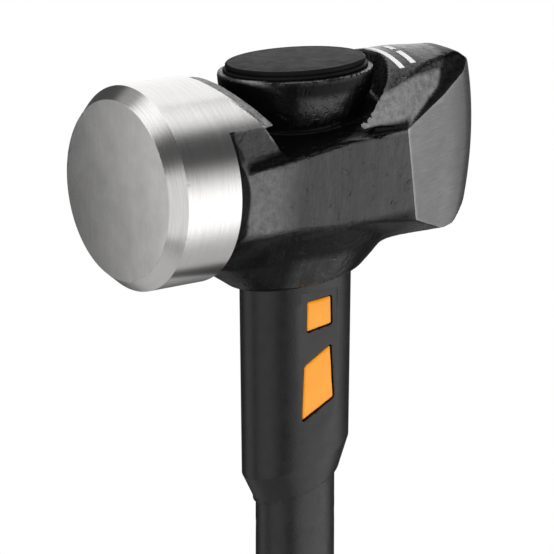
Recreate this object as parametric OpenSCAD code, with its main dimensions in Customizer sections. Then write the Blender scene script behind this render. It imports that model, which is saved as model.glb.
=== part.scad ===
// Two-faced sledge hammer: a forged head with a round striking face and a
// blunt driving wedge, on a layered shock-absorbing handle.
// Origin: centre of the butt end.  +Z runs up the handle to the head,
// -X is the round striking face and +X is the wedge.  Millimetres.

/* [Overall] */
// Length of the whole hammer, butt to cap
overall_h = 914; // [600:1:950]
// Height of the eye cap's top above the axis of the striking cylinder
cap_rise = 41.4; // [39:0.1:44]

/* [Striking end] */
// Radius of the turned striking cylinder
strike_r = 40; // [38:0.5:42]
// Radius of the flat striking face inside its chamfer
face_r = 35.2; // [32:0.1:36]
// Distance from the handle axis to the striking face
face_x = 84.6; // [80:0.1:90]
// Axial length of the face chamfer
face_chamfer = 5.9; // [3:0.1:8]
// Distance from the handle axis to the back edge of the turned cylinder
neck_x = 53; // [50:0.5:56]

/* [Forged body] */
// Half width of the body between its flat sides
body_hw = 33; // [31:0.5:35]
// Depth of the flat underside below the striking axis
body_below = 33; // [31:0.5:34]
// Height of the shelf around the top boss above the striking axis
shelf_z = 12; // [8:0.5:16]
// Height of the lower edge of the flat sides, below the striking axis
side_low = 19; // [17:0.5:22]
// Half width of the underside between its long chamfers
under_hw = 16; // [14:0.5:20]

/* [Wedge end] */
// Distance from the handle axis to where the ground cheeks begin
cheek_x = 36; // [34:0.5:38]
// Distance from the handle axis to the tip of the nose
nose_x = 83.5; // [80:0.5:88]
// Radius of the blunt nose seen from above
nose_r = 8.5; // [7:0.1:10]
// Height of the wedge's ridge above the striking axis
wedge_top = 40; // [38:0.5:40]
// Half width of the wedge's top between its roof facets
wedge_top_hw = 16; // [14:0.5:18]

/* [Eye and bosses] */
// Half length of the top boss rim along X
rim_p = 33; // [32:0.5:34]
// Half width of the top boss rim along Y
rim_q = 26; // [25:0.5:27]
// Half length of the lower boss lip along X
lip_p = 27; // [26:0.5:28]
// Half width of the lower boss lip along Y
lip_q = 19; // [18.5:0.5:20]
// Depth of the lower boss lip below the striking axis
lip_below = 46; // [44:0.5:48]
// Half length of the eye through the head
eye_p = 21.5; // [20.5:0.1:22]
// Half width of the eye through the head
eye_q = 13.5; // [13:0.1:14]

/* [Neck collar] */
// Half length of the collar along X
collar_p = 24.3; // [23.5:0.1:26]
// Half width of the collar along Y
collar_q = 15.8; // [15.5:0.1:17]
// Length of the collar from the head to the middle of its slanted end
collar_len = 85; // [80:1:95]
// Slant of the collar's lower end
collar_slant = 16; // [0:1:20]

/* [Handle] */
// Half length of the shaft section along X
shaft_p = 17.5; // [17:0.1:19]
// Half width of the shaft section along Y
shaft_q = 12.5; // [12.3:0.1:13]
// Length of the rubber grip
grip_len = 290; // [200:5:330]
// Thickness of the rubber grip on the shaft
grip_t = 2.6; // [2:0.1:3.5]

/* [Hidden] */
$fn = 96;
overlap = 0.01;

head_z = overall_h - cap_rise;
spike_x = 36;
spike_z = 24.5;
neck_top_x = 50;
nose_arc_r = 87;
nose_arc_z = 3.5;
side_reach = 200;
end_cut = 0.5;
flat_end_x = 60;
wedge_end_x = 70;
pocket_r = 36;
lip_step = 5;

rim_z = 37.6;
boss_root_p = 22;
boss_root_z = shelf_z - 2;
counterbore_z = 24;
counterbore_p = rim_p - 6;
counterbore_q = rim_q - 6.5;

plate_t = 5;
plate_gap = 2.5;
tang_head_t = 2.5;
cap_lip_t = 1.3;
cap_p = 30;
cap_q = 22;
cap_chamfer = 1.1;
cap_spigot = 4.6;

rod_p = 8;
rod_q = 5;
layer_p = 10.5;
layer_q = 7;
tenon_p = 17;
tenon_q = 9.5;
sleeve_low_p = 20;
sleeve_low_q = 11.5;
sleeve_len = 66;

panel_y = 14.3;
panel_hw = 10.3;
panel_top = 52.5;
panel_len = 60;
pad_y = 13.9;
pad_gap = 0.25;

butt_p = 25;
butt_q = 19.5;
butt_round = 4;
shell_start = 12;
rod_start = 30;
grip_start = 20;
flare_len = 42;
grip_taper = 4;

// Upright oval that tapers from p1 to p2 and keeps its proportion; its ends are cut off flat
module oval_cone(p1, p2, ratio, h) {
    slope = (p2 - p1) / h;
    reach = max(p1, p2) + 1;
    intersection() {
        translate([0, 0, -end_cut]) scale([1, ratio, 1])
            cylinder(r1 = p1 - slope * end_cut, r2 = p2 + slope * end_cut, h = h + 2 * end_cut);
        translate([-reach, -reach, 0]) cube([2 * reach, 2 * reach, h]);
    }
}

// Upright oval bar with half axes p and q
module oval(p, q, h) {
    linear_extrude(height = h) scale([1, q / p]) circle(r = p);
}

// Outline drawn in X and Z, made solid to both sides of the middle plane
module side_slab(points) {
    rotate([90, 0, 0]) linear_extrude(height = side_reach, center = true) polygon(points);
}

// Outline drawn in Y and Z, run along X from x0 to x1
module run_slab(points, x0, x1) {
    translate([x0, 0, 0]) rotate([90, 0, 90]) linear_extrude(height = x1 - x0) polygon(points);
}

// Turned striking cylinder with its chamfered face, axis along X
module striking_cylinder() {
    translate([-face_x, 0, 0]) rotate([0, 90, 0]) {
        cylinder(r1 = face_r, r2 = strike_r, h = face_chamfer);
        translate([0, 0, face_chamfer]) cylinder(r = strike_r, h = face_x - face_chamfer - neck_x);
    }
}

// Upper neck: the cylinder's shoulders run on to two points under a sloping roof
module neck_shoulders() {
    intersection() {
        translate([-neck_x - overlap, 0, 0]) rotate([0, 90, 0]) cylinder(r = strike_r, h = neck_x - spike_x);
        side_slab([
            [-neck_x - 1, 0], [-spike_x + 8, 0], [-spike_x + 8, shelf_z],
            [-spike_x, spike_z], [-neck_top_x, strike_r], [-neck_x - 1, strike_r]
        ]);
        union() {
            translate([-side_reach / 2, -body_hw, 0]) cube([side_reach, 2 * body_hw, strike_r]);
            translate([-side_reach / 2, -strike_r, spike_z]) cube([side_reach, 2 * strike_r, strike_r]);
        }
    }
}

// Plan outline of the body and wedge, with the round nose
module body_plan() {
    nose_c = nose_x - nose_r;
    run = nose_c - cheek_x;
    reach = norm([run, body_hw]);
    cheek_turn = atan2(body_hw, run) - asin(nose_r / reach);
    touch_x = nose_c + nose_r * sin(cheek_turn);
    touch_y = nose_r * cos(cheek_turn);
    polygon([
        [-neck_x - overlap, -body_hw], [cheek_x, -body_hw], [touch_x, -touch_y],
        [touch_x, touch_y], [cheek_x, body_hw], [-neck_x - overlap, body_hw]
    ]);
    translate([nose_c, 0]) circle(r = nose_r);
}

// Side outline shared by the body and the wedge
module body_side() {
    side_slab([
        [-neck_x - 1, -body_below], [flat_end_x, -body_below], [wedge_end_x, -body_below + 1],
        [wedge_end_x + 8, -27], [side_reach, -27], [side_reach, 34], [wedge_end_x + 8, 34],
        [wedge_end_x - 1, wedge_top], [-neck_x - 1, wedge_top]
    ]);
}

// Forged body: flat sides, chamfered underside, and the roofed wedge behind a round pocket
module forged_body() {
    intersection() {
        translate([0, 0, -body_below]) linear_extrude(height = body_below + wedge_top) body_plan();
        body_side();
        translate([nose_x - nose_arc_r, 0, nose_arc_z]) rotate([90, 0, 0])
            cylinder(r = nose_arc_r, h = side_reach, center = true, $fn = 180);
        union() {
            run_slab([
                [-body_hw, -side_low], [-under_hw, -body_below], [under_hw, -body_below],
                [body_hw, -side_low], [body_hw, shelf_z], [-body_hw, shelf_z]
            ], -neck_x - 1, side_reach);
            difference() {
                run_slab([
                    [-body_hw, 0], [body_hw, 0], [body_hw, shelf_z + 2], [wedge_top_hw, wedge_top - 4],
                    [0, wedge_top], [-wedge_top_hw, wedge_top - 4], [-body_hw, shelf_z + 2]
                ], 0, side_reach);
                translate([0, 0, shelf_z]) cylinder(r = pocket_r, h = side_reach);
            }
        }
    }
}

// Flared top boss that carries the cap
module top_boss() {
    translate([0, 0, boss_root_z]) oval_cone(boss_root_p, rim_p, rim_q / rim_p, rim_z - boss_root_z);
}

// Lower boss that meets the collar, stepped out twice towards the body
module lower_boss() {
    drop = lip_below - body_below;
    step_h = drop * 0.45;
    ratio = lip_q / lip_p;
    translate([0, 0, -lip_below]) oval_cone(lip_p, lip_p + lip_step, ratio, step_h);
    translate([0, 0, -lip_below + step_h])
        oval_cone(lip_p + lip_step, lip_p + 2 * lip_step, ratio, drop - step_h + 2);
}

module hammer_head() {
    color([0.17, 0.17, 0.18]) translate([0, 0, head_z]) difference() {
        union() {
            striking_cylinder();
            neck_shoulders();
            forged_body();
            top_boss();
            lower_boss();
        }
        translate([0, 0, -lip_below - 1]) oval(eye_p, eye_q, lip_below + rim_z + 2);
        translate([0, 0, counterbore_z]) oval(counterbore_p, counterbore_q, rim_z);
    }
}

module eye_cap() {
    color([0.07, 0.07, 0.08]) translate([0, 0, head_z + rim_z]) {
        translate([0, 0, -cap_spigot]) oval(counterbore_p, counterbore_q, cap_spigot + overlap);
        oval(cap_p + 1, cap_q + 1, cap_lip_t);
        translate([0, 0, cap_lip_t - overlap])
            oval(cap_p, cap_q, cap_rise - rim_z - cap_lip_t - cap_chamfer + overlap);
        translate([0, 0, cap_rise - rim_z - cap_chamfer])
            oval_cone(cap_p, cap_p - cap_chamfer, cap_q / cap_p, cap_chamfer);
    }
}

module retaining_plate() {
    color("silver") translate([0, 0, head_z + counterbore_z]) difference() {
        oval(counterbore_p - plate_gap, counterbore_q - plate_gap, plate_t);
        translate([0, 0, -1]) oval(rod_p, rod_q, plate_t + 2);
    }
}

// Bonding compound cast around the plate under the cap
module eye_filler() {
    fill_h = rim_z - cap_spigot - counterbore_z;
    color([0.75, 0.68, 0.5]) translate([0, 0, head_z + counterbore_z]) difference() {
        oval(counterbore_p, counterbore_q, fill_h);
        translate([0, 0, -1]) oval(counterbore_p - plate_gap, counterbore_q - plate_gap, plate_t + 1);
        oval(rod_p + 3, rod_q + 3, plate_t + tang_head_t);
    }
}

// Steel core, with its top end upset over the retaining plate
module core_rod() {
    color("slategray") {
        translate([0, 0, rod_start])
            oval(rod_p, rod_q, head_z + counterbore_z + plate_t + overlap - rod_start);
        translate([0, 0, head_z + counterbore_z + plate_t]) oval(rod_p + 3, rod_q + 3, tang_head_t);
    }
}

module damping_layer() {
    color([0.35, 0.33, 0.3]) translate([0, 0, rod_start]) difference() {
        oval(layer_p, layer_q, head_z + counterbore_z - rod_start);
        translate([0, 0, -1]) oval(rod_p, rod_q, overall_h);
    }
}

// Stiff outer shell: the visible shaft, and a slimmer tenon that enters the eye
module handle_shell() {
    tenon_start = head_z - lip_below - sleeve_len;
    color([0.14, 0.14, 0.15]) difference() {
        union() {
            translate([0, 0, shell_start]) oval(shaft_p, shaft_q, tenon_start - shell_start);
            translate([0, 0, tenon_start - overlap])
                oval(tenon_p, tenon_q, head_z + counterbore_z - tenon_start + overlap);
        }
        translate([0, 0, rod_start]) oval(layer_p, layer_q, overall_h);
    }
}

// Windows of the collar in X and Z from the striking axis, grown outwards by the amount grow
module window_outlines(grow) {
    upper = [
        [-5 - grow, -65.3 - grow], [6.1 + grow, -63.6 - grow],
        [5.8 + grow, -53.9 + grow], [-4.8 - grow, -54.8 + grow]
    ];
    lower = [
        [-7.2 - grow, -102 - 1.6 * grow], [7.1 + grow, -94.2 - 0.6 * grow],
        [5.8 + grow, -74 + 1.6 * grow], [-6.1 - grow, -80.7 + 0.6 * grow]
    ];
    polygon(upper);
    polygon(lower);
}

// The window outlines run out from the middle plane to the -Y side, or to the +Y side
module window_prisms(grow, reach, far_side = false) {
    mirror([0, far_side ? 1 : 0, 0]) translate([0, 0, head_z]) rotate([90, 0, 0])
        linear_extrude(height = reach) window_outlines(grow);
}

// Elastomer sleeve between the handle tenon and the head, with pads that fill the windows
module shock_sleeve() {
    color([0.97, 0.6, 0.12]) difference() {
        union() {
            translate([0, 0, head_z - lip_below]) oval(eye_p, eye_q, lip_below + counterbore_z);
            translate([0, 0, head_z - lip_below - sleeve_len])
                oval(sleeve_low_p, sleeve_low_q, sleeve_len + overlap);
            window_prisms(-pad_gap, pad_y);
            window_prisms(-pad_gap, pad_y, far_side = true);
        }
        oval(tenon_p, tenon_q, overall_h);
    }
}

// Body of the collar without its bore and windows, top at the head's lip
module collar_blank() {
    low = -lip_below - collar_len;
    intersection() {
        translate([0, 0, low - 20]) oval(collar_p, collar_q, collar_len + 20);
        rotate([0, -collar_slant, 0]) translate([-side_reach / 2, -side_reach / 2, low])
            cube([side_reach, side_reach, side_reach]);
    }
}

module neck_collar() {
    bore_top = head_z - lip_below;
    color([0.2, 0.2, 0.21]) difference() {
        translate([0, 0, head_z]) collar_blank();
        translate([0, 0, bore_top - sleeve_len]) oval(sleeve_low_p, sleeve_low_q, overall_h);
        oval(shaft_p, shaft_q, bore_top - sleeve_len + overlap);
        window_prisms(0, side_reach);
        window_prisms(0, side_reach, far_side = true);
        for (y = [panel_y, -panel_y - collar_q])
            translate([-panel_hw, y, head_z - panel_top - panel_len])
                cube([2 * panel_hw, collar_q, panel_len]);
    }
}

// Rubber grip: it narrows from the flared butt, runs straight, and ends in a short taper
module grip_sleeve() {
    grip_p = shaft_p + grip_t;
    ratio = butt_q / butt_p;
    color([0.1, 0.1, 0.11]) translate([0, 0, grip_start]) difference() {
        union() {
            oval_cone(butt_p - 1, grip_p, ratio, flare_len);
            translate([0, 0, flare_len - overlap])
                oval(grip_p, grip_p * ratio, grip_len - flare_len - grip_taper);
            translate([0, 0, grip_len - grip_taper - overlap])
                oval_cone(grip_p, shaft_p + 1.2, ratio, grip_taper);
        }
        translate([0, 0, -1]) oval(shaft_p, shaft_q, overall_h);
    }
}

module butt_cap() {
    color([0.05, 0.05, 0.06]) difference() {
        union() {
            oval_cone(butt_p - butt_round, butt_p, butt_q / butt_p, butt_round);
            translate([0, 0, butt_round - overlap])
                oval(butt_p, butt_q, grip_start - butt_round + overlap);
        }
        translate([0, 0, shell_start]) oval(shaft_p, shaft_q, grip_start);
    }
}

hammer_head();
eye_cap();
retaining_plate();
eye_filler();
core_rod();
damping_layer();
handle_shell();
shock_sleeve();
neck_collar();
grip_sleeve();
butt_cap();
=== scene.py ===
"""Looks of a two-faced sledge hammer: forged head, eye cap, windowed neck collar, shaft and grip.

The field functions work in millimetres: x along the head with the striking face at the negative end,
y across it, z up from the striking axis. Every Blender object is in metres in the frame of the model.
"""
import math

import bpy
import numpy as np
from mathutils import Matrix, Vector


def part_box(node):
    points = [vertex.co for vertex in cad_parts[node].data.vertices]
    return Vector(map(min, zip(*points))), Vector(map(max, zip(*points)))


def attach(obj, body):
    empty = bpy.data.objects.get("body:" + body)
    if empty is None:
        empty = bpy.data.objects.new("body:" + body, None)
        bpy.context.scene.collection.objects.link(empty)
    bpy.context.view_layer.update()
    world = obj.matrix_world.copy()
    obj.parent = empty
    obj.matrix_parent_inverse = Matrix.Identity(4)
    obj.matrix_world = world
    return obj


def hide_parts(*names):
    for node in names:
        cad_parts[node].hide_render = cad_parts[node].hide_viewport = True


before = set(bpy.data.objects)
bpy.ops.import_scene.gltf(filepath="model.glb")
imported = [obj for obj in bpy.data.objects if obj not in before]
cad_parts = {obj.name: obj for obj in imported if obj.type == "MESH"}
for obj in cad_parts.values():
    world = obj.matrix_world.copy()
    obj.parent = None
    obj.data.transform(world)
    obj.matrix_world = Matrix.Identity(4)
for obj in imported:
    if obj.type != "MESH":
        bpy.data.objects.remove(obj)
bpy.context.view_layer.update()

MM = 0.001

# Sizes in millimetres.
CYLINDER_R = 40.0
FACE_X = -84.6
FACE_R = 35.2
STEEL_END_X = -54.2
NECK_X = -54.4
SKIN_R = 38.9
FLANK_Y = 33.0
RIM_Z = 37.6
BOWL_P, BOWL_Q = 33.0, 26.0
LIP_Z = -46.3
EYE_P, EYE_Q = 21.5, 13.5
SEAT_P, SEAT_Q, SEAT_Z = 27.0, 19.5, 24.0
SHAFT_P, SHAFT_Q = 17.5, 12.5
COLLAR_P, COLLAR_Q, COLLAR_TOP_Z = 24.9, 16.1, -43.5
PANEL_Y = 14.9
WINDOW_R = 1.1
MARK_R = (39.70, 40.25)

# Radius of the slight crown of the striking face, in metres.
FACE_CROWN_M = 0.4

HEAD_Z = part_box("hammer_head")[1].z / MM - CYLINDER_R


# ---------------------------------------------------------------- distance fields

def ramp(value, start, stop):
    """Rises from 0 at start to 1 at stop; start may be the larger one."""
    return np.clip((value - start) / (stop - start), 0, 1)


def round_and(a, b, r):
    """Common part of two solids, with a convex edge of radius r."""
    return np.minimum(-r, np.maximum(a, b)) + np.hypot(np.maximum(r + a, 0), np.maximum(r + b, 0))


def round_or(a, b, r):
    """Union of two solids, with a concave fillet of radius r."""
    return np.maximum(r, np.minimum(a, b)) - np.hypot(np.maximum(r - a, 0), np.maximum(r - b, 0))


def crease(a, b, width):
    """Common part of two faces that are nearly in line, with a soft crease between them."""
    near = np.maximum(width - np.abs(a - b), 0) / width
    return np.maximum(a, b) + near**2 * width / 4


def all_of(fields, r):
    """Common part of several solids with edges of radius r."""
    out = fields[0]
    for other in fields[1:]:
        out = round_and(out, other, r)
    return out


def oval_wall(x, y, p, q):
    """Distance to an upright oval wall with half axes p and q."""
    reach = np.hypot(x / p, y / q) + 1e-9
    slope = np.hypot(x / p**2, y / q**2) / reach + 1e-9
    return (reach - 1) / slope


def waves(x, y, z, pitch, seed, turns=5):
    """Smooth repeatable unevenness between about -1 and 1, with bumps about pitch wide."""
    rng = np.random.default_rng(seed)
    total = 0
    for _ in range(turns):
        way = rng.normal(size=3)
        way *= 2 * math.pi / (pitch * rng.uniform(0.7, 1.6)) / np.linalg.norm(way)
        bend = rng.normal(size=3) * 1.3
        phase = rng.uniform(0, 2 * math.pi, 2)
        inner = np.sin(x * bend[0] / pitch + y * bend[1] / pitch + z * bend[2] / pitch + phase[0])
        total = total + np.sin(x * way[0] + y * way[1] + z * way[2] + 1.7 * inner + phase[1])
    return total / turns


# ---------------------------------------------------------------- head fields

def striking_end(x, y, z):
    """Turned cylinder with its chamfered face and sharp back edge."""
    radius = np.hypot(y, z)
    chamfer = 0.631 * (FACE_X - x) + 0.7757 * (radius - FACE_R)
    turned = np.maximum(np.maximum(radius - CYLINDER_R, chamfer), FACE_X - x)
    return np.maximum(turned, x - STEEL_END_X)


def bevel_band(x, y, z):
    """Black cone that leads from the steel's back edge down to the body."""
    cone = (np.hypot(y, z) - 38.2 + 0.6 * (x - STEEL_END_X)) / 1.17
    return np.maximum(cone, NECK_X - x)


def neck_roof(x, z):
    """The two planes of the neck's sloping roof."""
    return 0.738 * x + 0.675 * z + 9.9, 0.843 * x + 0.537 * z + 17.1


def neck(x, y, z):
    """Upper neck: two shoulders that run to points under a sloping roof."""
    side = np.abs(y)
    radius = np.hypot(y, z)
    roof = round_and(*neck_roof(x, z), 1.5)
    shoulder = np.maximum(radius - CYLINDER_R, 24.6 - z)
    patch = np.maximum(side - 30.3 + 0.12 * (z - 14), 10.5 - z)
    both = np.minimum(shoulder, np.maximum(patch, radius - CYLINDER_R))
    both = round_and(both, roof, 0.5)
    skin = all_of([radius - SKIN_R, roof - 4.5, 24.0 - z], 1.2)
    return np.maximum(np.minimum(both, skin), NECK_X - x)


def roof_facet(x, y, z):
    """Facets between the wedge's flank and its crown; they turn steeper towards the pocket."""
    bend = 0.24 * np.maximum(30 - x, 0) - 0.05 * np.maximum(x - 60, 0)
    coarse = 0.348 * x + 0.901 * np.abs(y) + 0.258 * z - 43.05
    smooth = 0.283 * x + 0.881 * np.abs(y) + 0.376 * z - 42.1
    return np.minimum(coarse, smooth) + bend


def facet_end(z):
    """The x where the coarse facet gives way to the smooth one, which carries painted shade."""
    return np.interp(z, (15.5, 26.2, 38.7), (33.0, 56.4, 65.4))


def shelf_plane(x, side, z):
    """Flat shelf on top of the flanks."""
    level = np.minimum(13.0 + 0.13 * x, 13.8)
    return (z - level - 0.3 * (FLANK_Y - side)) * 0.95


def wedge_faces(x, y, z):
    """The ground cheeks with the round nose, and the forged faces around them."""
    side = np.abs(y)
    cheek = (0.4547 * x + side - 0.0193 * z - 45.64) / 1.0987
    nose = np.hypot(x + 3.5, z - 3.5) - 90.3
    ground = round_and(cheek, nose / 2, 5.0)
    flank = side - FLANK_Y - 0.09 * (z - 10)
    flank = crease(flank, flank + 0.10 * (x - 13), 0.5)
    groove = 2.2 * np.clip((38 - x) / 20, 0.25, 1) - np.hypot(side - 32.4, z - 15.6)
    crown = np.hypot(y, z) - CYLINDER_R + 0.08 * np.maximum(x - 50, 0)
    under_chamfer = 0.6 * side - 0.8 * z - 34.2 - 0.045 * x
    underside = -z - 33.3 + 0.02 * (x - 40)
    upper_tip = 0.555 * x + 0.832 * z - 71.6
    lower_tip = 0.53 * x - 0.848 * z - 64.2
    flank = round_and(flank, groove, 0.9)
    forged = [flank, crown, roof_facet(x, y, z), under_chamfer, underside, upper_tip, lower_tip]
    return ground, forged


def forged_body(x, y, z):
    """Body and wedge: flat flanks, chamfered underside, shelf and round pocket under the cap."""
    side = np.abs(y)
    ground, forged = wedge_faces(x, y, z)
    outside = round_and(all_of(forged, 1.1), ground, 0.5)
    pocket = 37.3 - np.hypot(x, side * 1.12)
    top = round_or(shelf_plane(x, side, z), round_and(pocket, -x, 2), 3)
    return np.maximum(round_and(outside, top, 1.2), -56 - x)


def top_boss(x, y, z):
    """Bowl that widens to the rim under the cap."""
    depth, narrowing = 30, 0.8
    down = (RIM_Z - z) / depth
    grow = np.sqrt(np.clip(1 - narrowing * down**2, 0.05, 1))
    steep = narrowing * down / depth / grow
    reach = np.hypot(x / BOWL_P, y / BOWL_Q) + 1e-9
    slope = np.hypot(np.hypot(x / BOWL_P**2, y / BOWL_Q**2) / reach, steep) + 1e-9
    bowl = (reach - grow) / slope
    return np.maximum(round_and(bowl, z - RIM_Z, 1.2), 10 - z)


def lower_boss(x, y, z):
    """Lower boss, flared from its lip up to the underside, with the lip a little tilted."""
    level = z - 0.087 * x - LIP_Z
    p = 27.5 + 1.36 * np.clip(level, -5, 14)
    q = 19.6 + 0.42 * np.clip(level, -5, 24)
    return np.maximum(round_and(0.75 * oval_wall(x, y, p, q), -level, 2.5), z + 19)


def unevenness(x, y, z):
    """Forging marks of the black faces; they fade out on the turned and the ground steel."""
    ground, _ = wedge_faces(x, y, z)
    coarse = np.clip(1 - np.abs(roof_facet(x, y, z)) / 1.5, 0, 1)
    dents = 0.13 * waves(x, y, z, 13, 3) + (0.05 + 0.10 * coarse) * waves(x, y, z, 3.6, 5, 7)
    streaks = 0.05 * waves(x * 2.4, y, z * 0.45, 4, 8, 6)
    black = np.clip(-bright_mask(x, y, z), 0, 1) * np.clip(-ground / 0.8, 0, 1)
    return (dents + streaks) * black


def head_field(x, y, z):
    """The whole head, negative inside."""
    fillet = 1.5 + 3.5 * ramp(np.abs(x), 25, 40)
    body = round_or(forged_body(x, y, z), lower_boss(x, y, z), fillet)
    body = round_or(body, top_boss(x, y, z), 2.5)
    black = round_or(neck(x, y, z), body, 4.5)
    black = round_or(bevel_band(x, y, z), black, 0.8)
    solid = np.minimum(striking_end(x, y, z), black) + unevenness(x, y, z)
    eye = oval_wall(x, y, EYE_P, EYE_Q)
    seat = np.maximum(oval_wall(x, y, SEAT_P, SEAT_Q), SEAT_Z - z)
    return np.maximum(np.maximum(solid, -eye), -seat)


# ---------------------------------------------------------------- head masks

def bright_mask(x, y, z):
    """Above zero on the turned, unpainted steel of the striking end."""
    radius = np.hypot(y, z)
    shoulder = np.minimum(np.minimum(0.45 - np.abs(radius - CYLINDER_R), -30 - x), z - 20)
    rim = np.minimum(-53.8 - x, radius - 39.0)
    return np.maximum(np.maximum(-55 - x, rim), shoulder)


def ground_mask(x, y, z):
    """Above zero on the ground cheeks and nose."""
    ground, forged = wedge_faces(x, y, z)
    return ground - np.maximum.reduce(forged) - 0.05


def painted_shade_mask(x, y, z):
    """Painted shade: where it is up, the black lacquer gives way to an almost black, weakly reflecting one.
    It is full in the band by the steel, on the shelf and on the smooth facet beside the cheek, and most of
    the way on the bowl and under the body, where a low spot on the lower boss is left lit.
    """
    # each region below is painted shade; lit marks a spot on the lower boss that is kept out of it
    facet = ramp(x - facet_end(z), -1.43, 1.43) * ramp(z, 15, 17)
    band_end = -45 - 5 * ramp(z, -2, 12)**2
    band = ramp(band_end - x, -0.625, 0.625)
    lit = ramp(z, -32, -35) * ramp(np.abs(x + 3), 17, 11)
    boss = 0.85 * ramp(z, -18.5, -21.5) * (1 - lit) * ramp(x, 46, 34)
    above = shelf_plane(x, np.abs(y), z)
    shelf = ramp(above, -0.6, -0.1) * ramp(above, 4.5, 2.5) * ramp(x, 35, 32) * ramp(x, -48, -45)
    on_bowl = np.hypot(x / BOWL_P, y / BOWL_Q) < 1.04
    bowl = np.maximum(ramp(np.abs(x + 2), 9, 15), ramp(z, 29, 32))
    bowl = 0.95 * bowl * ramp(z, 15, 18) * ramp(z, 37, 36) * on_bowl
    return np.maximum.reduce([facet, band, boss, shelf, bowl])


def rough_and_highlight_mask(x, y, z):
    """Near one on the coarse facet and the neck's roof, and about half on the flank near the neck. Besides
    roughness and grit, it lightens the lacquer's colour there as a painted highlight; on the flank near the
    neck it stands for a highlight only.
    """
    facet = np.abs(roof_facet(x, y, z)) + 2 * ramp(z, 14, 12)
    facet = facet + 2 * ramp(z, 30.5, 34.5) + 2 * ramp(x - facet_end(z), -1.75, 3.25)
    roof = np.abs(np.maximum(*neck_roof(x, z)))
    skin = np.abs(np.hypot(y, z) - SKIN_R) + 2 * ramp(x, -22, -20)
    roof = np.minimum(roof + 0.4, skin) + 2 * ramp(z, 18, 16)
    # painted highlight on the flank near the neck
    root = 0.5 * ramp(x, -20, -34) * ramp(z, 13, 11) * ramp(z, -26, -20)
    return np.maximum(np.clip(1.6 - np.minimum(facet, roof), 0, 1), root)


# ---------------------------------------------------------------- dual contouring

BISECTIONS = 9
FLAT_LIMIT = 0.08


def gradient(field, points, step):
    """Outward normals of the field at the points."""
    out = np.empty_like(points)
    for axis in range(3):
        shift = np.zeros(3)
        shift[axis] = step
        ahead, behind = points + shift, points - shift
        out[:, axis] = field(*ahead.T) - field(*behind.T)
    return out / (np.linalg.norm(out, axis=1, keepdims=True) + 1e-12)


def crossings(field, inside, axis, origin, step):
    """Points where the grid's edges along one axis cross the surface, and their lower grid corners."""
    ahead = np.roll(inside, -1, axis)
    changed = inside != ahead
    last = [slice(None)] * 3
    last[axis] = -1
    changed[tuple(last)] = False
    corner = np.argwhere(changed)
    start = origin + corner * step
    reach = np.zeros(3)
    reach[axis] = step
    far = corner.copy()
    far[:, axis] += 1
    low, high = np.zeros(len(corner)), np.ones(len(corner))
    starts_in = inside[tuple(corner.T)]
    for _ in range(BISECTIONS):
        middle = (low + high) / 2
        point = start + middle[:, None] * reach
        same = (field(*point.T) < 0) == starts_in
        low, high = np.where(same, middle, low), np.where(same, high, middle)
    return corner, start + ((low + high) / 2)[:, None] * reach, starts_in


def dual_contour(field, low, high, step):
    """Vertices and quads of the surface field = 0, with corners and edges kept sharp."""
    origin = np.array(low, float) - 1.5 * step
    counts = np.ceil((np.array(high) - origin) / step).astype(int) + 3
    axes = [origin[i] + step * np.arange(counts[i]) for i in range(3)]
    inside = field(*np.meshgrid(*axes, indexing="ij")) < 0
    cell_ids, points, normals, quads = [], [], [], []
    stride = np.array([counts[1] * counts[2], counts[2], 1])
    for axis in range(3):
        corner, point, starts_in = crossings(field, inside, axis, origin, step)
        normal = gradient(field, point, 0.04 * step)
        one, two = np.eye(3, dtype=int)[(axis + 1) % 3], np.eye(3, dtype=int)[(axis + 2) % 3]
        ring = [corner - one - two, corner - two, corner, corner - one]
        ids = np.stack([cell @ stride for cell in ring], 1)
        quads.append(np.where(starts_in[:, None], ids, ids[:, ::-1]))
        for column in range(4):
            cell_ids.append(ids[:, column])
            points.append(point)
            normals.append(normal)
    unique, where = np.unique(np.concatenate(cell_ids), return_inverse=True)
    planes = np.concatenate(points), np.concatenate(normals)
    cell = [unique // stride[0], unique // stride[1] % counts[1], unique % stride[1]]
    corner = origin + np.stack(cell, 1) * step
    vertices = place_vertices(where, *planes, corner, step)
    faces = np.searchsorted(unique, np.concatenate(quads))
    return vertices, faces


def place_vertices(where, points, normals, corner, step):
    """One vertex in each crossed cell, where the tangent planes of its crossings meet."""
    count = len(corner)
    total = np.bincount(where, minlength=count).astype(float)
    middle = np.stack([np.bincount(where, points[:, i], count) for i in range(3)], 1) / total[:, None]
    offset = np.einsum("ij,ij->i", normals, points - middle[where])
    matrix = np.empty((count, 3, 3))
    target = np.empty((count, 3))
    for i in range(3):
        target[:, i] = np.bincount(where, normals[:, i] * offset, count)
        for j in range(3):
            matrix[:, i, j] = np.bincount(where, normals[:, i] * normals[:, j], count)
    strength, way = np.linalg.eigh(matrix)
    keep = strength > FLAT_LIMIT * strength[:, -1:]
    along = np.einsum("nij,ni->nj", way, target)
    along = np.where(keep, along / np.where(keep, strength, 1), 0)
    moved = np.einsum("nij,nj->ni", way, along)
    return np.clip(middle + moved, corner, corner + step)


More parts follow.
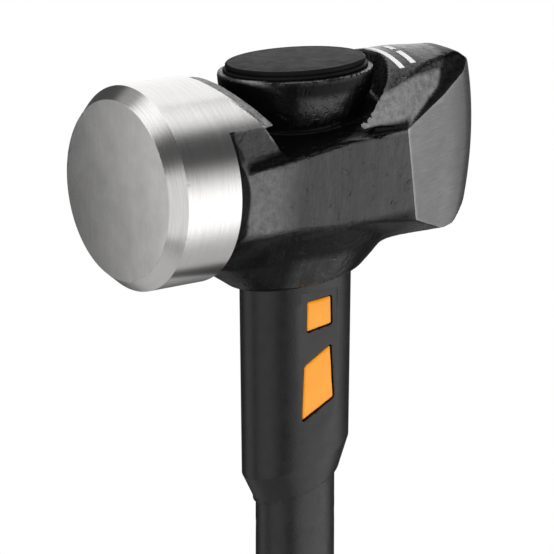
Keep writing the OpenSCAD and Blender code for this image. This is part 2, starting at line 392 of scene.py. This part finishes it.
def field_piece(name, field, low, high, step, masks=None):
    """Mesh object from a field in head millimetres, with one point attribute for each mask."""
    vertices, faces = dual_contour(field, low, high, step)
    mesh = bpy.data.meshes.new(name)
    placed = (vertices + np.array([0, 0, HEAD_Z])) * MM
    mesh.vertices.add(len(placed))
    mesh.vertices.foreach_set("co", placed.astype(np.float32).ravel())
    mesh.loops.add(faces.size)
    mesh.loops.foreach_set("vertex_index", faces.astype(np.int32).ravel())
    mesh.polygons.add(len(faces))
    mesh.polygons.foreach_set("loop_start", np.arange(0, faces.size, 4, dtype=np.int32))
    mesh.update(calc_edges=True)
    mesh.validate()
    for key, mask in (masks or {}).items():
        layer = mesh.attributes.new(key, "FLOAT", "POINT")
        layer.data.foreach_set("value", mask(*vertices.T).astype(np.float32))
    mesh.shade_smooth()
    mesh.set_sharp_from_angle(angle=math.radians(34))
    print(name, len(faces) * 2, "triangles")
    return link_object(name, mesh)


def link_object(name, mesh):
    """New object in the scene that holds the mesh."""
    piece = bpy.data.objects.new(name, mesh)
    bpy.context.scene.collection.objects.link(piece)
    return piece


# ---------------------------------------------------------------- collar and sleeve fields

UPPER_WINDOW = [(-4.9, -66.6), (7.7, -64.8), (7.4, -52.9), (-4.6, -53.9)]
LOWER_WINDOW = [(-7.2, -103.2), (8.7, -95.4), (7.2, -73.0), (-6.1, -80.3)]


def quad_field(x, z, corners, r):
    """Distance to a four-cornered outline whose corners run anticlockwise."""
    edges = []
    for (x0, z0), (x1, z1) in zip(corners, corners[1:] + corners[:1]):
        length = math.hypot(x1 - x0, z1 - z0)
        edges.append(((x - x0) * (z1 - z0) - (z - z0) * (x1 - x0)) / length)
    return all_of(edges, r)


def windows(x, z, r):
    """Both window outlines, negative inside."""
    return np.minimum(quad_field(x, z, UPPER_WINDOW, r), quad_field(x, z, LOWER_WINDOW, r))


def collar_field(x, y, z):
    """Neck collar: tapered oval, slanted end, and a flat panel with two windows on each side."""
    side = np.abs(y)
    down = (-46 - z) / 85
    taper = np.clip((-120.5 + 0.273 * x - z) / 11.7, 0, 1)
    p = (COLLAR_P - down) * (1 - 0.22 * taper)
    q = (COLLAR_Q - 0.5 * down) * (1 - 0.10 * taper)
    panel = side - PANEL_Y - 0.008 * np.maximum(-98 - z, 0)**2 - 0.25 * np.maximum(z + 56, 0)
    wall = crease(oval_wall(x, y, p, q) * 0.9, panel, 0.35)
    end = (0.338 * x - 132.6 - z) * 0.95
    solid = round_and(wall, end, 0.6)
    solid = round_and(solid, z - COLLAR_TOP_Z, 0.3)
    floor = 14.45 + 0.010 * np.maximum(-94 - z, 0)**2 - side
    recess = all_of([floor, (np.abs(x - 1.2) - 8.9) * 0.8, z + 50], 0.3)
    solid = round_and(solid, -recess, 0.25)
    hole = np.maximum(windows(x, z, WINDOW_R) - 0.15, 8 - side)
    solid = round_and(solid, -hole, 0.35)
    around_sleeve = oval_wall(x, y, 20, 11.5)
    around_shaft = oval_wall(x, y, SHAFT_P - 0.05, SHAFT_Q - 0.05)
    return np.maximum(solid, -np.where(z > -112, around_sleeve, around_shaft))


def sleeve_field(x, y, z):
    """Elastomer sleeve with softly crowned pads that stand in the windows."""
    side = np.abs(y)
    in_eye = oval_wall(x, y, EYE_P - 0.2, EYE_Q - 0.2)
    in_collar = oval_wall(x, y, 19.9, 11.4)
    tube = np.where(z > -45.5, in_eye, in_collar)
    tube = np.maximum(np.maximum(tube, z - SEAT_Z), -111.8 - z)
    outline = windows(x, z, WINDOW_R) + 0.42
    crowned = side - 14.3 - 0.3 * np.clip(-outline / 4, 0, 1)
    pads = round_and(outline, crowned, 0.7)
    return np.maximum(np.minimum(tube, pads), -oval_wall(x, y, 17, 9.5))


# ---------------------------------------------------------------- lofts

def loft(name, rings, segments=128, closed=False, shape=None):
    """Mesh through oval rings (p, q, z) in millimetres above the butt; closed joins the two ends."""
    angle = np.linspace(0, 2 * math.pi, segments, endpoint=False)
    vertices = []
    for p, q, z in rings:
        push = shape(angle, z) if shape else 0.0
        across = (p + push) * np.cos(angle), (q + push) * np.sin(angle)
        vertices.append(np.stack([*across, np.full(segments, z)], 1))
    count = len(rings)
    faces = []
    for ring in range(count if closed else count - 1):
        here, there = ring * segments, (ring + 1) % count * segments
        for i in range(segments):
            j = (i + 1) % segments
            faces.append((here + i, here + j, there + j, there + i))
    if not closed:
        faces.append(tuple(reversed(range(segments))))
        faces.append(tuple(range((count - 1) * segments, count * segments)))
    mesh = bpy.data.meshes.new(name)
    mesh.from_pydata((np.concatenate(vertices) * MM).tolist(), [], faces)
    mesh.update()
    mesh.shade_smooth()
    mesh.set_sharp_from_angle(angle=math.radians(38))
    return link_object(name, mesh)


def arc_profile(p, q, z, r, start, end, count=6):
    """Rings that round an edge of radius r; angles run from 0 (outward) to 90 (upward)."""
    rings = []
    for turn in np.radians(np.linspace(start, end, count)):
        out, up = r * math.cos(turn), r * math.sin(turn)
        rings.append((p - r + out, q - r + out, z + up))
    return rings


# ---------------------------------------------------------------- material helpers

class Shader:
    """A node material under construction, with short calls for the nodes used here."""

    def __init__(self, name):
        self.material = bpy.data.materials.new(name)
        self.material.use_nodes = True
        self.tree = self.material.node_tree
        self.tree.nodes.clear()
        self.output = self.tree.nodes.new("ShaderNodeOutputMaterial")
        self.place = self.tree.nodes.new("ShaderNodeTexCoord").outputs["Object"]

    def node(self, kind, inputs=None, **settings):
        made = self.tree.nodes.new(kind)
        for key, value in settings.items():
            setattr(made, key, value)
        for key, value in (inputs or {}).items():
            self.feed(made.inputs[key], value)
        return made

    def feed(self, socket, value):
        if isinstance(value, bpy.types.NodeSocket):
            self.tree.links.new(value, socket)
        else:
            socket.default_value = value

    def math(self, operation, a, b=0.0, clamp=False):
        return self.node("ShaderNodeMath", {0: a, 1: b}, operation=operation, use_clamp=clamp).outputs[0]

    def noise(self, pitch_mm, stretch=(1, 1, 1), detail=3.0, roughness=0.55):
        """Noise about pitch_mm wide; stretch above 1 lengthens it along that axis."""
        scale = tuple(1 / (pitch_mm * MM * s) for s in stretch)
        moved = self.node("ShaderNodeMapping", {"Vector": self.place, "Scale": scale}).outputs[0]
        inputs = {"Vector": moved, "Scale": 1.0, "Detail": detail, "Roughness": roughness}
        return self.node("ShaderNodeTexNoise", inputs).outputs["Fac"]

    def span(self, value, low, high, to_low=0.0, to_high=1.0, smooth=False):
        kind = "SMOOTHSTEP" if smooth else "LINEAR"
        inputs = {0: value, 1: low, 2: high, 3: to_low, 4: to_high}
        return self.node("ShaderNodeMapRange", inputs, interpolation_type=kind).outputs[0]

    def mask(self, name):
        return self.node("ShaderNodeAttribute", attribute_name=name).outputs["Fac"]

    def blend(self, factor, a, b):
        inputs = {"Factor": factor, 6: a, 7: b}
        return self.node("ShaderNodeMix", inputs, data_type="RGBA").outputs[2]

    def bump(self, height, depth_mm, base=None):
        inputs = {"Height": height, "Distance": depth_mm * MM, "Strength": 1.0}
        if base is not None:
            inputs["Normal"] = base
        return self.node("ShaderNodeBump", inputs).outputs[0]

    def surface(self, colour, roughness, normal=None, **fixed):
        inputs = {"Base Color": colour, "Roughness": roughness}
        if normal is not None:
            inputs["Normal"] = normal
        inputs.update({key.replace("_", " "): value for key, value in fixed.items()})
        return self.node("ShaderNodeBsdfPrincipled", inputs).outputs[0]

    def either(self, factor, a, b):
        return self.node("ShaderNodeMixShader", {0: factor, 1: a, 2: b}).outputs[0]

    def done(self, shader):
        self.tree.links.new(shader, self.output.inputs["Surface"])
        return self.material


def grey(value, warm=0.0):
    return (value * (1 + warm), value, value * (1 - warm), 1.0)


# ---------------------------------------------------------------- materials

def black_lacquer(s):
    """Forged skin under black lacquer: orange peel, pits, streaks, coarse facets that are lightened as a
    painted highlight, and painted shade where the lacquer turns almost black.
    """
    peel = s.noise(1.1, detail=4)
    lumps = s.noise(2.8, detail=3)
    grit = s.noise(1.1, detail=3)
    rough_and_highlight = s.mask("rough_and_highlight")
    pits = s.span(s.noise(4.0, detail=2), 0.60, 0.78, 0, -1)
    normal = s.bump(peel, 0.05)
    normal = s.bump(pits, 0.30, normal)
    normal = s.bump(lumps, 0.25, normal)
    normal = s.bump(s.math("MULTIPLY", grit, rough_and_highlight), 0.7, normal)
    worn = s.span(s.noise(2.0, (0.35, 1, 4.0), detail=6, roughness=0.65), 0.38, 0.70)
    streak = s.span(s.noise(7.0, (0.45, 1, 3.0), detail=3), 0.35, 0.65)
    colour = s.blend(s.math("MULTIPLY", worn, streak), grey(0.002), grey(0.030, -0.03))
    # painted highlight: the lacquer turns lumpy grey where the mask is up, for the glitter of the coarse
    # facet and the light on the neck's roof and flank
    colour = s.blend(s.math("MULTIPLY", rough_and_highlight, s.span(lumps, 0.3, 0.7, 0.4, 0.85)), colour, grey(0.30))
    gloss = s.span(s.noise(3.0, detail=4), 0.3, 0.7, 0.20, 0.32)
    gloss = s.math("ADD", gloss, s.math("MULTIPLY", rough_and_highlight, 0.12))
    lacquer = s.surface(colour, gloss, normal, Specular_IOR_Level=0.47)
    # painted shade: near-black lacquer that reflects little, used where the painted shade mask is up
    painted_shade = s.surface(grey(0.002), 0.3, normal, Specular_IOR_Level=0.08)
    return s.either(s.mask("painted_shade"), lacquer, painted_shade)


def turned_steel(s):
    """Bright steel with fine lines that run round the axis, and upright lines on the crowned face."""
    lines = s.noise(0.22, (1, 90, 90), detail=3, roughness=0.7)
    x, y, z = s.node("ShaderNodeSeparateXYZ", {0: s.place}).outputs
    on_face = s.math("LESS_THAN", x, (FACE_X + 0.2) * MM)
    up = s.math("SUBTRACT", z, HEAD_Z * MM)
    square = s.math("ADD", s.math("MULTIPLY", y, y), s.math("MULTIPLY", up, up))
    crown = s.math("MULTIPLY", s.math("MULTIPLY", square, on_face), -0.5 / FACE_CROWN_M)
    across = s.math("MULTIPLY", s.noise(0.25, (60, 1, 120), detail=3, roughness=0.7), on_face)
    soft = s.noise(9.0, (0.5, 1.5, 1.5), detail=4)
    normal = s.bump(lines, 0.012)
    normal = s.bump(across, 0.010, normal)
    normal = s.bump(crown, 1 / MM, normal)
    colour = s.blend(s.span(lines, 0.35, 0.65), grey(0.62, 0.012), grey(0.74, 0.012))
    colour = s.blend(s.span(soft, 0.35, 0.65, 0, 0.15), colour, grey(0.56, 0.02))
    gloss = s.span(across, 0.3, 0.7, 0.22, 0.30)
    return s.surface(colour, gloss, normal, Metallic=1.0)


def ground_steel(s):
    """Dark ground steel of the cheeks, with fine lines across the wedge, and painted shade that darkens it
    towards the nose.
    """
    lines = s.noise(0.30, (30, 30, 1), detail=3, roughness=0.7)
    cloud = s.noise(11.0, (1, 1, 1.6), detail=3)
    normal = s.bump(lines, 0.020)
    colour = s.blend(s.span(lines, 0.32, 0.68), grey(0.31), grey(0.45))
    colour = s.blend(s.span(cloud, 0.3, 0.7, 0, 0.4), colour, grey(0.27))
    # painted shade: the cheek darkens towards the nose, where its rounding turns away from the light
    along = s.node("ShaderNodeSeparateXYZ", {0: s.place}).outputs[0]
    colour = s.blend(s.span(along, 0.062, 0.080, 0, 0.55, smooth=True), colour, grey(0.08))
    return s.surface(colour, s.span(lines, 0.3, 0.7, 0.36, 0.46), normal, Metallic=1.0)


def head_finish():
    """Lacquer everywhere except the turned striking end and the ground wedge."""
    s = Shader("forged_head")
    edge = s.math("MULTIPLY", s.math("SUBTRACT", s.noise(1.6, detail=3), 0.5), 0.7)
    bright = s.math("GREATER_THAN", s.mask("bright"), 0.0)
    ground = s.math("GREATER_THAN", s.math("ADD", s.mask("ground"), s.math("MULTIPLY", edge, 0.12)), 0.0)
    base = s.either(ground, black_lacquer(s), ground_steel(s))
    return s.done(s.either(bright, base, turned_steel(s)))


def moulded_black(name, low, high, rough_low, rough_high, grain_mm=0.5, depth=0.03, shine=0.6):
    """Black plastic or rubber with a fine moulded grain."""
    s = Shader(name)
    grain = s.noise(grain_mm, detail=3)
    cloud = s.noise(14.0, detail=3)
    speck = s.span(s.noise(0.9, detail=5, roughness=0.7), 0.62, 0.75)
    colour = s.blend(s.span(cloud, 0.3, 0.7), grey(low), grey(high))
    colour = s.blend(s.math("MULTIPLY", speck, 0.5), colour, grey(high * 4))
    gloss = s.span(s.noise(4.0, detail=4), 0.3, 0.7, rough_low, rough_high)
    return s.done(s.surface(colour, gloss, s.bump(grain, depth), Specular_IOR_Level=shine))


def metal_finish(name, colour, roughness):
    """Drawn or plated steel of a hidden part."""
    s = Shader(name)
    lines = s.noise(0.3, (1, 1, 40), detail=3)
    tint = s.blend(s.span(lines, 0.3, 0.7), grey(colour * 0.8), grey(colour * 1.15))
    gloss = s.span(s.noise(2.0), 0.3, 0.7, roughness, roughness + 0.15)
    return s.done(s.surface(tint, gloss, s.bump(lines, 0.01), Metallic=1.0))


def soft_finish(name, dark, light, roughness, grain_mm, depth, sheen=0.0):
    """Elastomer, foam or cast compound with a colour that drifts between dark and light."""
    s = Shader(name)
    grain = s.noise(grain_mm, detail=4)
    drift = s.span(s.noise(8.0, detail=3), 0.3, 0.7)
    colour = s.blend(drift, dark, light)
    gloss = s.span(s.noise(2.5), 0.3, 0.7, roughness - 0.06, roughness + 0.06)
    return s.done(s.surface(colour, gloss, s.bump(grain, depth), Sheen_Weight=sheen))


def marking_finish():
    """Matt white print, a little worn so that the lacquer shows in specks."""
    s = Shader("white_marking")
    specks = s.span(s.noise(0.5, detail=5, roughness=0.7), 0.30, 0.36)
    colour = s.blend(specks, grey(0.25), grey(0.86))
    return s.done(s.surface(colour, 0.5, s.bump(s.noise(0.3), 0.01)))


def floor_finish():
    """Pale floor that fades out to the backdrop at its rim."""
    s = Shader("pale_floor")
    spread = s.node("ShaderNodeVectorMath", {0: s.place}, operation="LENGTH").outputs["Value"]
    colour = s.blend(s.span(s.noise(60.0), 0.3, 0.7), grey(0.62, 0.004), grey(0.66, 0.004))
    clear = s.node("ShaderNodeBsdfTransparent").outputs[0]
    fade = s.span(spread, 0.35, 1.25, smooth=True)
    return s.done(s.either(fade, s.surface(colour, 0.8), clear))


# ---------------------------------------------------------------- pieces

def finish_piece(piece, material, slot, *nodes):
    """Gives a new piece its material and its body, and hides the CAD nodes it stands for; slot is not used.
    """
    piece.data.materials.clear()
    piece.data.materials.append(material)
    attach(piece, "root")
    if nodes:
        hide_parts(*nodes)
    return piece


def make_head():
    step = 0.88
    space = (-84.8, -40.2, -50), (87.0, 40.2, 40.2)
    masks = {"bright": bright_mask, "ground": ground_mask, "rough_and_highlight": rough_and_highlight_mask, "painted_shade": painted_shade_mask}
    head = field_piece("head_forging", head_field, *space, step, masks)
    return finish_piece(head, head_finish(), "forged_head", "hammer_head")


def make_cap():
    """Moulded cap: spigot in the counterbore, flange on the rim, groove, and a crowned disc."""
    rim = HEAD_Z + RIM_Z
    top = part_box("eye_cap")[1].z / MM
    rings = [(0.5, 0.4, rim - 4.6), (SEAT_P - 0.3, SEAT_Q - 0.3, rim - 4.6)]
    rings += [(SEAT_P, SEAT_Q, rim - 4.3), (SEAT_P, SEAT_Q, rim), (30.6, 22.6, rim + 0.02)]
    rings += arc_profile(31.2, 23.2, rim + 0.7, 0.6, -60, 80)
    rings += [(29.6, 21.6, rim + 1.45), (29.35, 21.35, rim + 1.6), (29.5, 21.5, rim + 1.8)]
    rings += [(30.1, 22.1, rim + 1.95)]
    rings += arc_profile(30.2, 22.2, top - 1.1, 0.9, 0, 88, 8)
    disc_p, disc_q, drop = 27.4, 19.4, 0.24
    rings += [(disc_p + 1, disc_q + 1, top - 0.28), (disc_p + 0.5, disc_q + 0.5, top - 0.30)]
    for part in (1, 0.8, 0.6, 0.4, 0.2, 0.02):
        rings.append((disc_p * part, disc_q * part, top - drop * part**2))
    cap = loft("moulded_cap", rings, 160)
    material = moulded_black("cap_plastic", 0.006, 0.011, 0.38, 0.48, shine=0.03)
    return finish_piece(cap, material, "cap_plastic", "eye_cap")


def make_collar():
    step = 0.62
    collar = field_piece("windowed_collar", collar_field, (-25, -16.3, -142), (25, 16.3, -43), step)
    material = moulded_black("collar_plastic", 0.004, 0.009, 0.28, 0.40, 0.7, 0.07, 0.45)
    return finish_piece(collar, material, "collar_plastic", "neck_collar")


def make_sleeve():
    step = 0.8
    sleeve = field_piece("sleeve_and_pads", sleeve_field, (-21.6, -14.6, -112), (21.6, 14.6, 24.5), step)
    orange = soft_finish("orange_elastomer", (1.0, 0.345, 0.010, 1), (1.0, 0.38, 0.014, 1), 0.40, 0.7, 0.02)
    return finish_piece(sleeve, orange, "orange_elastomer", "shock_sleeve")


def make_grip():
    """Rubber grip with raised finger ribs, a knurled field between them and a rolled upper edge."""
    low, high = (corner.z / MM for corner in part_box("grip_sleeve"))
    length = high - low
    plain_foot, plain_top, rib_pitch, fade_over = 24, 10, 9.0, 10
    body_p, flare_p, narrow = 20.1, 3.9, 0.78

    def ribs(angle, z):
        up = z - low
        if up < plain_foot or up > length - plain_top:
            return 0.0 * angle
        fade = min(1, (up - plain_foot) / fade_over, (length - plain_top - up) / fade_over)
        wave = 0.5 + 0.5 * math.cos(2 * math.pi * up / rib_pitch)
        groove = -0.9 * (1 - wave)**2
        knurl = 0.5 + 0.5 * np.cos(angle * 24 + math.pi * up / rib_pitch)
        return fade * (groove - 0.28 * knurl * wave)

    rings = []
    for part in np.linspace(0, 1, 240):
        up = part * length
        flare = 1 - np.clip(up / 42, 0, 1)
        flare = flare * flare * (3 - 2 * flare)
        end = np.clip((up - length + 4) / 4, 0, 1)
        p = body_p + flare_p * flare - 1.5 * end**2
        rings.append((p, p * narrow, low + up))
    rings.append((SHAFT_P + 0.05, SHAFT_Q + 0.05, high))
    rings.append((SHAFT_P + 0.05, SHAFT_Q + 0.05, low))
    grip = loft("rubber_grip", rings, 192, closed=True, shape=ribs)
    material = moulded_black("grip_rubber", 0.014, 0.022, 0.50, 0.66, 0.35, 0.04)
    return finish_piece(grip, material, "grip_rubber", "grip_sleeve")


def make_butt():
    """Butt cap with a rounded foot, two shallow rings and a socket for the shaft."""
    low, high = (corner.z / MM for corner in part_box("butt_cap"))
    p, q, socket_floor = 25, 19.5, low + 12
    rings = [(0.5, 0.4, low), (p - 4.5, q - 4.5, low)]
    rings += arc_profile(p, q, low + 4, 4, -88, 0, 8)
    for middle in (8.5, 13.5):
        rings += [(p, q, middle - 1.0), (p - 0.6, q - 0.6, middle - 0.4)]
        rings += [(p - 0.6, q - 0.6, middle + 0.4), (p, q, middle + 1.0)]
    rings += arc_profile(p - 0.1, q - 0.1, high - 1.0, 1.0, 0, 85, 5)
    rings += [(SHAFT_P + 0.1, SHAFT_Q + 0.1, high), (SHAFT_P + 0.1, SHAFT_Q + 0.1, socket_floor)]
    rings += [(0.5, 0.4, socket_floor)]
    butt = loft("butt_cap_moulding", rings, 128)
    material = moulded_black("butt_plastic", 0.020, 0.030, 0.42, 0.56)
    return finish_piece(butt, material, "butt_plastic", "butt_cap")


def curved_bar(x0, x1, start, stop):
    """Vertices and faces of a thin bar that follows the crown between two angles in degrees."""
    turns = np.radians(np.linspace(start, stop, 25))
    vertices = []
    for radius in MARK_R:
        for turn in turns:
            y, z = radius * math.sin(turn) * MM, (HEAD_Z + radius * math.cos(turn)) * MM
            vertices += [(x0 * MM, y, z), (x1 * MM, y, z)]
    half = 2 * len(turns)
    faces = []
    for low in range(0, half - 2, 2):
        top = low + half
        faces.append((top, top + 1, top + 3, top + 2))
        faces.append((low, low + 2, low + 3, low + 1))
        faces.append((low, top, top + 2, low + 2))
        faces.append((low + 1, low + 3, top + 3, top + 1))
    faces.append((0, 1, half + 1, half))
    faces.append((half - 2, 2 * half - 2, 2 * half - 1, half - 1))
    return vertices, faces


def make_marking():
    """Plain printed bars on the crown of the wedge."""
    vertices, faces = [], []
    for bar in [(37.5, 40.0, -27, 8), (44.5, 47.0, -24, -9), (44.5, 47.0, -5, 4)]:
        base = len(vertices)
        more, quads = curved_bar(*bar)
        vertices += more
        faces += [tuple(base + corner for corner in quad) for quad in quads]
    mesh = bpy.data.meshes.new("marking_bars")
    mesh.from_pydata(vertices, [], faces)
    mesh.update()
    return finish_piece(link_object("marking_bars", mesh), marking_finish(), "white_marking")


def dress_frame_nodes():
    """Materials for the CAD nodes that stay: the shaft, and the parts hidden in the eye and handle."""
    finishes = {
        "handle_shell": moulded_black("shaft_plastic", 0.005, 0.011, 0.30, 0.42, 0.7, 0.07, 0.48),
        "retaining_plate": metal_finish("plate_steel", 0.45, 0.3),
        "core_rod": metal_finish("core_steel", 0.35, 0.35),
        "eye_filler": soft_finish("bonding_compound", grey(0.42, 0.25), grey(0.55, 0.25), 0.4, 1.5, 0.05),
        "damping_layer": soft_finish("damping_elastomer", grey(0.10), grey(0.14, 0.05), 0.7, 0.8, 0.08),
    }
    for node, material in finishes.items():
        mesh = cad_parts[node].data
        mesh.materials.clear()
        mesh.materials.append(material)


# ---------------------------------------------------------------- stage

def make_floor():
    """Round floor just below the butt."""
    radius, below, corners = 3.0, -0.0005, 96
    mesh = bpy.data.meshes.new("floor")
    turns = np.linspace(0, 2 * math.pi, corners, endpoint=False)
    rim = [(radius * math.cos(turn), radius * math.sin(turn), below) for turn in turns]
    mesh.from_pydata(rim, [], [tuple(range(corners))])
    mesh.materials.append(floor_finish())
    link_object("floor", mesh)


class Sky:
    """Studio surroundings built from soft cards, each a range of azimuth and height."""

    def __init__(self):
        world = bpy.data.worlds.new("studio")
        bpy.context.scene.world = world
        world.use_nodes = True
        self.tree = world.node_tree
        self.tree.nodes.clear()
        way = self.tree.nodes.new("ShaderNodeTexCoord").outputs["Generated"]
        split = self.tree.nodes.new("ShaderNodeSeparateXYZ")
        self.tree.links.new(way, split.inputs[0])
        self.x, self.y, self.z = split.outputs
        self.height = self.math("MULTIPLY", self.math("ARCSINE", self.z), 180 / math.pi)
        self.azimuth = self.math("MULTIPLY", self.math("ARCTAN2", self.y, self.x), 180 / math.pi)
        self.level = None

    def math(self, operation, a, b=0.0):
        made = self.tree.nodes.new("ShaderNodeMath")
        made.operation = operation
        for socket, value in zip(made.inputs, (a, b)):
            if isinstance(value, bpy.types.NodeSocket):
                self.tree.links.new(value, socket)
            else:
                socket.default_value = value
        return made.outputs[0]

    def ramp(self, value, start, stop):
        made = self.tree.nodes.new("ShaderNodeMapRange")
        made.interpolation_type = "SMOOTHSTEP"
        self.tree.links.new(value, made.inputs[0])
        made.inputs[1].default_value = start
        made.inputs[2].default_value = stop
        return made.outputs[0]

    def window(self, value, low, high, soft):
        first, last = soft if isinstance(soft, tuple) else (soft, soft)
        rise = self.ramp(value, low - first, low + first)
        fall = self.ramp(value, high + last, high - last)
        return self.math("MULTIPLY", rise, fall)

    def card(self, level, azimuth=None, height=None, soft=4.0, height_soft=None):
        """Adds a card; azimuth, height and the softness of its edges are in degrees."""
        part = 1.0
        if azimuth:
            part = self.window(self.azimuth, *azimuth, soft)
        if height:
            rows = self.window(self.height, *height, height_soft or soft)
            part = self.math("MULTIPLY", rows, part)
        light = self.math("MULTIPLY", part, level)
        self.level = light if self.level is None else self.math("MAXIMUM", self.level, light)

    def finish(self, backdrop):
        """The cards light the object; the camera itself sees an even pale backdrop."""
        light = self.tree.nodes.new("ShaderNodeBackground")
        light.inputs["Color"].default_value = (1, 1, 1, 1)
        self.tree.links.new(self.level, light.inputs["Strength"])
        seen = self.tree.nodes.new("ShaderNodeBackground")
        seen.inputs["Color"].default_value = (1, 1, 1, 1)
        seen.inputs["Strength"].default_value = backdrop
        path = self.tree.nodes.new("ShaderNodeLightPath")
        mix = self.tree.nodes.new("ShaderNodeMixShader")
        self.tree.links.new(path.outputs["Is Camera Ray"], mix.inputs[0])
        self.tree.links.new(light.outputs[0], mix.inputs[1])
        self.tree.links.new(seen.outputs[0], mix.inputs[2])
        output = self.tree.nodes.new("ShaderNodeOutputWorld")
        self.tree.links.new(mix.outputs[0], output.inputs["Surface"])


def make_surroundings():
    """Overhead card, tall front wall, and dimmer cards behind, beside and below."""
    sky = Sky()
    sky.card(0.07)
    sky.card(1.6, height=(53, 100), height_soft=6)
    sky.card(1.6, azimuth=(-92, -12), height=(-48, 10), soft=(10, 18), height_soft=20)
    sky.card(1.25, azimuth=(24, 62), height=(-8, 60), soft=4)
    sky.card(0.40, azimuth=(62, 116), height=(34, 60), soft=5)
    sky.card(0.95, azimuth=(-176, -118), height=(-45, 20), soft=10, height_soft=8)
    sky.card(0.90, azimuth=(126, 172), height=(-60, 40), soft=(22, 16), height_soft=16)
    sky.card(0.15, azimuth=(20, 90), height=(-80, -24), soft=10)
    sky.finish(1.0)


def make_fill():
    """Broad soft light from the front that shows in matt surfaces only."""
    light = bpy.data.lights.new("fill", "AREA")
    light.shape = "DISK"
    light.size = 1.4
    light.energy = 16
    fill = bpy.data.objects.new("fill", light)
    bpy.context.scene.collection.objects.link(fill)
    place = Vector((-0.6, -1.7, 1.6))
    fill.location = place
    fill.rotation_euler = (place - Vector((0, 0, HEAD_Z * MM))).to_track_quat("Z", "Y").to_euler()
    fill.visible_glossy = False
    fill.visible_camera = False


def make_camera():
    """Long lens from the striking side, aimed a little below the middle of the head."""
    turn, tilt, distance = math.radians(35.9), math.radians(15.2), 1.5
    aim_left, aim_below = 0.0073, 0.0459
    back = Vector((-math.sin(turn) * math.cos(tilt), -math.cos(turn) * math.cos(tilt), math.sin(tilt)))
    right = Vector((math.cos(turn), -math.sin(turn), 0))
    up = right.cross(-back)
    camera = bpy.data.objects.new("camera", bpy.data.cameras.new("camera"))
    bpy.context.scene.collection.objects.link(camera)
    aim = Vector((0, 0, HEAD_Z * MM)) - right * aim_left - up * aim_below
    axes = Matrix((right, up, back)).transposed().to_4x4()
    camera.matrix_world = Matrix.Translation(aim + back * distance) @ axes
    camera.data.sensor_width = 36
    camera.data.lens = 246.85
    camera.data.clip_start = 0.05
    camera.data.clip_end = 50
    bpy.context.scene.camera = camera


make_camera()
make_surroundings()
make_fill()
make_floor()
make_head()
make_cap()
make_collar()
make_sleeve()
make_grip()
make_butt()
make_marking()
dress_frame_nodes()
bpy.context.scene.view_settings.view_transform = "Standard"
